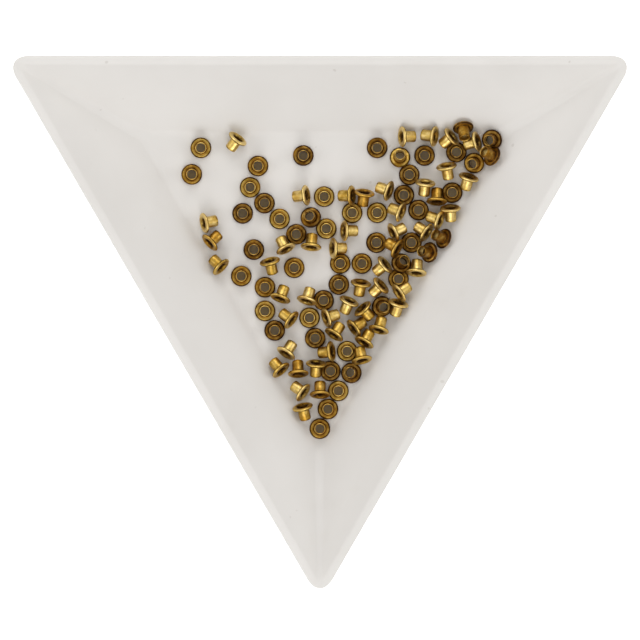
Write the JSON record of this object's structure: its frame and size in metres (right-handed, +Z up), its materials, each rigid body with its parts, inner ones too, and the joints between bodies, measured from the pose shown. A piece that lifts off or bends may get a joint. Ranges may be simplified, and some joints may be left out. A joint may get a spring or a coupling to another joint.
{
  "type": "sorting tray with tube rivets",
  "caption": "Shallow three-sided plastic sorting tray with sloping walls and a flat floor, holding a loose pile of small flanged brass tube rivets.",
  "frame": {"origin": "middle of the tray's outline at the height of its flat underside", "axes": "+Z up out of the tray, +X along the tray's longest side, +Y towards that flat side, -Y towards the opposite corner"},
  "size_m": [0.088, 0.0762, 0.01],
  "materials": {
    "white_plastic": "smooth moulded plastic with a soft satin sheen, slightly warm white, faint scuffs",
    "aged_brass": "antiqued brass, bright on the crests and brown in the recesses"
  },
  "bodies": {
    "tray": {"sorting_tray": "white_plastic"},
    "rivet_leaning_01": {"rivet_leaning_01": "aged_brass"},
    "rivet_leaning_02": {"rivet_leaning_02": "aged_brass"},
    "rivet_leaning_03": {"rivet_leaning_03": "aged_brass"},
    "rivet_leaning_04": {"rivet_leaning_04": "aged_brass"},
    "rivet_lying_01": {"rivet_lying_01": "aged_brass"},
    "rivet_lying_02": {"rivet_lying_02": "aged_brass"},
    "rivet_lying_03": {"rivet_lying_03": "aged_brass"},
    "rivet_lying_04": {"rivet_lying_04": "aged_brass"},
    "rivet_lying_05": {"rivet_lying_05": "aged_brass"},
    "rivet_lying_06": {"rivet_lying_06": "aged_brass"},
    "rivet_lying_07": {"rivet_lying_07": "aged_brass"},
    "rivet_lying_08": {"rivet_lying_08": "aged_brass"},
    "rivet_lying_09": {"rivet_lying_09": "aged_brass"},
    "rivet_lying_10": {"rivet_lying_10": "aged_brass"},
    "rivet_lying_11": {"rivet_lying_11": "aged_brass"},
    "rivet_lying_12": {"rivet_lying_12": "aged_brass"},
    "rivet_lying_13": {"rivet_lying_13": "aged_brass"},
    "rivet_lying_14": {"rivet_lying_14": "aged_brass"},
    "rivet_lying_15": {"rivet_lying_15": "aged_brass"},
    "rivet_lying_16": {"rivet_lying_16": "aged_brass"},
    "rivet_lying_17": {"rivet_lying_17": "aged_brass"},
    "rivet_lying_18": {"rivet_lying_18": "aged_brass"},
    "rivet_lying_19": {"rivet_lying_19": "aged_brass"},
    "rivet_lying_20": {"rivet_lying_20": "aged_brass"},
    "rivet_lying_21": {"rivet_lying_21": "aged_brass"},
    "rivet_lying_22": {"rivet_lying_22": "aged_brass"},
    "rivet_lying_23": {"rivet_lying_23": "aged_brass"},
    "rivet_lying_24": {"rivet_lying_24": "aged_brass"},
    "rivet_lying_25": {"rivet_lying_25": "aged_brass"},
    "rivet_lying_26": {"rivet_lying_26": "aged_brass"},
    "rivet_lying_27": {"rivet_lying_27": "aged_brass"},
    "rivet_lying_28": {"rivet_lying_28": "aged_brass"},
    "rivet_lying_29": {"rivet_lying_29": "aged_brass"},
    "rivet_lying_30": {"rivet_lying_30": "aged_brass"},
    "rivet_lying_31": {"rivet_lying_31": "aged_brass"},
    "rivet_lying_32": {"rivet_lying_32": "aged_brass"},
    "rivet_lying_33": {"rivet_lying_33": "aged_brass"},
    "rivet_lying_34": {"rivet_lying_34": "aged_brass"},
    "rivet_lying_35": {"rivet_lying_35": "aged_brass"},
    "rivet_standing_01": {"rivet_standing_01": "aged_brass"},
    "rivet_standing_02": {"rivet_standing_02": "aged_brass"},
    "rivet_standing_03": {"rivet_standing_03": "aged_brass"},
    "rivet_standing_04": {"rivet_standing_04": "aged_brass"},
    "rivet_standing_05": {"rivet_standing_05": "aged_brass"},
    "rivet_standing_06": {"rivet_standing_06": "aged_brass"},
    "rivet_standing_07": {"rivet_standing_07": "aged_brass"},
    "rivet_standing_08": {"rivet_standing_08": "aged_brass"},
    "rivet_standing_09": {"rivet_standing_09": "aged_brass"},
    "rivet_standing_10": {"rivet_standing_10": "aged_brass"},
    "rivet_standing_11": {"rivet_standing_11": "aged_brass"},
    "rivet_standing_12": {"rivet_standing_12": "aged_brass"},
    "rivet_standing_13": {"rivet_standing_13": "aged_brass"},
    "rivet_standing_14": {"rivet_standing_14": "aged_brass"},
    "rivet_standing_15": {"rivet_standing_15": "aged_brass"},
    "rivet_standing_16": {"rivet_standing_16": "aged_brass"},
    "rivet_standing_17": {"rivet_standing_17": "aged_brass"},
    "rivet_standing_18": {"rivet_standing_18": "aged_brass"},
    "rivet_standing_19": {"rivet_standing_19": "aged_brass"}
  },
  "joints": [
    {"name": "rivet_leaning_01_lift", "type": "slide", "parent": "tray", "child": "rivet_leaning_01", "axis": [0, 0, 1], "range_m": [0, 0.012]},
    {"name": "rivet_leaning_02_lift", "type": "slide", "parent": "tray", "child": "rivet_leaning_02", "axis": [0, 0, 1], "range_m": [0, 0.012]},
    {"name": "rivet_leaning_03_lift", "type": "slide", "parent": "tray", "child": "rivet_leaning_03", "axis": [0, 0, 1], "range_m": [0, 0.012]},
    {"name": "rivet_leaning_04_lift", "type": "slide", "parent": "tray", "child": "rivet_leaning_04", "axis": [0, 0, 1], "range_m": [0, 0.012]},
    {"name": "rivet_lying_01_lift", "type": "slide", "parent": "tray", "child": "rivet_lying_01", "axis": [0, 0, 1], "range_m": [0, 0.012]},
    {"name": "rivet_lying_02_lift", "type": "slide", "parent": "tray", "child": "rivet_lying_02", "axis": [0, 0, 1], "range_m": [0, 0.012]},
    {"name": "rivet_lying_03_lift", "type": "slide", "parent": "tray", "child": "rivet_lying_03", "axis": [0, 0, 1], "range_m": [0, 0.012]},
    {"name": "rivet_lying_04_lift", "type": "slide", "parent": "tray", "child": "rivet_lying_04", "axis": [0, 0, 1], "range_m": [0, 0.012]},
    {"name": "rivet_lying_05_lift", "type": "slide", "parent": "tray", "child": "rivet_lying_05", "axis": [0, 0, 1], "range_m": [0, 0.012]},
    {"name": "rivet_lying_06_lift", "type": "slide", "parent": "tray", "child": "rivet_lying_06", "axis": [0, 0, 1], "range_m": [0, 0.012]},
    {"name": "rivet_lying_07_lift", "type": "slide", "parent": "tray", "child": "rivet_lying_07", "axis": [0, 0, 1], "range_m": [0, 0.012]},
    {"name": "rivet_lying_08_lift", "type": "slide", "parent": "tray", "child": "rivet_lying_08", "axis": [0, 0, 1], "range_m": [0, 0.012]},
    {"name": "rivet_lying_09_lift", "type": "slide", "parent": "tray", "child": "rivet_lying_09", "axis": [0, 0, 1], "range_m": [0, 0.012]},
    {"name": "rivet_lying_10_lift", "type": "slide", "parent": "tray", "child": "rivet_lying_10", "axis": [0, 0, 1], "range_m": [0, 0.012]},
    {"name": "rivet_lying_11_lift", "type": "slide", "parent": "tray", "child": "rivet_lying_11", "axis": [0, 0, 1], "range_m": [0, 0.012]},
    {"name": "rivet_lying_12_lift", "type": "slide", "parent": "tray", "child": "rivet_lying_12", "axis": [0, 0, 1], "range_m": [0, 0.012]},
    {"name": "rivet_lying_13_lift", "type": "slide", "parent": "tray", "child": "rivet_lying_13", "axis": [0, 0, 1], "range_m": [0, 0.012]},
    {"name": "rivet_lying_14_lift", "type": "slide", "parent": "tray", "child": "rivet_lying_14", "axis": [0, 0, 1], "range_m": [0, 0.012]},
    {"name": "rivet_lying_15_lift", "type": "slide", "parent": "tray", "child": "rivet_lying_15", "axis": [0, 0, 1], "range_m": [0, 0.012]},
    {"name": "rivet_lying_16_lift", "type": "slide", "parent": "tray", "child": "rivet_lying_16", "axis": [0, 0, 1], "range_m": [0, 0.012]},
    {"name": "rivet_lying_17_lift", "type": "slide", "parent": "tray", "child": "rivet_lying_17", "axis": [0, 0, 1], "range_m": [0, 0.012]},
    {"name": "rivet_lying_18_lift", "type": "slide", "parent": "tray", "child": "rivet_lying_18", "axis": [0, 0, 1], "range_m": [0, 0.012]},
    {"name": "rivet_lying_19_lift", "type": "slide", "parent": "tray", "child": "rivet_lying_19", "axis": [0, 0, 1], "range_m": [0, 0.012]},
    {"name": "rivet_lying_20_lift", "type": "slide", "parent": "tray", "child": "rivet_lying_20", "axis": [0, 0, 1], "range_m": [0, 0.012]},
    {"name": "rivet_lying_21_lift", "type": "slide", "parent": "tray", "child": "rivet_lying_21", "axis": [0, 0, 1], "range_m": [0, 0.012]},
    {"name": "rivet_lying_22_lift", "type": "slide", "parent": "tray", "child": "rivet_lying_22", "axis": [0, 0, 1], "range_m": [0, 0.012]},
    {"name": "rivet_lying_23_lift", "type": "slide", "parent": "tray", "child": "rivet_lying_23", "axis": [0, 0, 1], "range_m": [0, 0.012]},
    {"name": "rivet_lying_24_lift", "type": "slide", "parent": "tray", "child": "rivet_lying_24", "axis": [0, 0, 1], "range_m": [0, 0.012]},
    {"name": "rivet_lying_25_lift", "type": "slide", "parent": "tray", "child": "rivet_lying_25", "axis": [0, 0, 1], "range_m": [0, 0.012]},
    {"name": "rivet_lying_26_lift", "type": "slide", "parent": "tray", "child": "rivet_lying_26", "axis": [0, 0, 1], "range_m": [0, 0.012]},
    {"name": "rivet_lying_27_lift", "type": "slide", "parent": "tray", "child": "rivet_lying_27", "axis": [0, 0, 1], "range_m": [0, 0.012]},
    {"name": "rivet_lying_28_lift", "type": "slide", "parent": "tray", "child": "rivet_lying_28", "axis": [0, 0, 1], "range_m": [0, 0.012]},
    {"name": "rivet_lying_29_lift", "type": "slide", "parent": "tray", "child": "rivet_lying_29", "axis": [0, 0, 1], "range_m": [0, 0.012]},
    {"name": "rivet_lying_30_lift", "type": "slide", "parent": "tray", "child": "rivet_lying_30", "axis": [0, 0, 1], "range_m": [0, 0.012]},
    {"name": "rivet_lying_31_lift", "type": "slide", "parent": "tray", "child": "rivet_lying_31", "axis": [0, 0, 1], "range_m": [0, 0.012]},
    {"name": "rivet_lying_32_lift", "type": "slide", "parent": "tray", "child": "rivet_lying_32", "axis": [0, 0, 1], "range_m": [0, 0.012]},
    {"name": "rivet_lying_33_lift", "type": "slide", "parent": "tray", "child": "rivet_lying_33", "axis": [0, 0, 1], "range_m": [0, 0.012]},
    {"name": "rivet_lying_34_lift", "type": "slide", "parent": "tray", "child": "rivet_lying_34", "axis": [0, 0, 1], "range_m": [0, 0.012]},
    {"name": "rivet_lying_35_lift", "type": "slide", "parent": "tray", "child": "rivet_lying_35", "axis": [0, 0, 1], "range_m": [0, 0.012]},
    {"name": "rivet_standing_01_lift", "type": "slide", "parent": "tray", "child": "rivet_standing_01", "axis": [0, 0, 1], "range_m": [0, 0.012]},
    {"name": "rivet_standing_02_lift", "type": "slide", "parent": "tray", "child": "rivet_standing_02", "axis": [0, 0, 1], "range_m": [0, 0.012]},
    {"name": "rivet_standing_03_lift", "type": "slide", "parent": "tray", "child": "rivet_standing_03", "axis": [0, 0, 1], "range_m": [0, 0.012]},
    {"name": "rivet_standing_04_lift", "type": "slide", "parent": "tray", "child": "rivet_standing_04", "axis": [0, 0, 1], "range_m": [0, 0.012]},
    {"name": "rivet_standing_05_lift", "type": "slide", "parent": "tray", "child": "rivet_standing_05", "axis": [0, 0, 1], "range_m": [0, 0.012]},
    {"name": "rivet_standing_06_lift", "type": "slide", "parent": "tray", "child": "rivet_standing_06", "axis": [0, 0, 1], "range_m": [0, 0.012]},
    {"name": "rivet_standing_07_lift", "type": "slide", "parent": "tray", "child": "rivet_standing_07", "axis": [0, 0, 1], "range_m": [0, 0.012]},
    {"name": "rivet_standing_08_lift", "type": "slide", "parent": "tray", "child": "rivet_standing_08", "axis": [0, 0, 1], "range_m": [0, 0.012]},
    {"name": "rivet_standing_09_lift", "type": "slide", "parent": "tray", "child": "rivet_standing_09", "axis": [0, 0, 1], "range_m": [0, 0.012]},
    {"name": "rivet_standing_10_lift", "type": "slide", "parent": "tray", "child": "rivet_standing_10", "axis": [0, 0, 1], "range_m": [0, 0.012]},
    {"name": "rivet_standing_11_lift", "type": "slide", "parent": "tray", "child": "rivet_standing_11", "axis": [0, 0, 1], "range_m": [0, 0.012]},
    {"name": "rivet_standing_12_lift", "type": "slide", "parent": "tray", "child": "rivet_standing_12", "axis": [0, 0, 1], "range_m": [0, 0.012]},
    {"name": "rivet_standing_13_lift", "type": "slide", "parent": "tray", "child": "rivet_standing_13", "axis": [0, 0, 1], "range_m": [0, 0.012]},
    {"name": "rivet_standing_14_lift", "type": "slide", "parent": "tray", "child": "rivet_standing_14", "axis": [0, 0, 1], "range_m": [0, 0.012]},
    {"name": "rivet_standing_15_lift", "type": "slide", "parent": "tray", "child": "rivet_standing_15", "axis": [0, 0, 1], "range_m": [0, 0.012]},
    {"name": "rivet_standing_16_lift", "type": "slide", "parent": "tray", "child": "rivet_standing_16", "axis": [0, 0, 1], "range_m": [0, 0.012]},
    {"name": "rivet_standing_17_lift", "type": "slide", "parent": "tray", "child": "rivet_standing_17", "axis": [0, 0, 1], "range_m": [0, 0.012]},
    {"name": "rivet_standing_18_lift", "type": "slide", "parent": "tray", "child": "rivet_standing_18", "axis": [0, 0, 1], "range_m": [0, 0.012]},
    {"name": "rivet_standing_19_lift", "type": "slide", "parent": "tray", "child": "rivet_standing_19", "axis": [0, 0, 1], "range_m": [0, 0.012]}
  ]
}
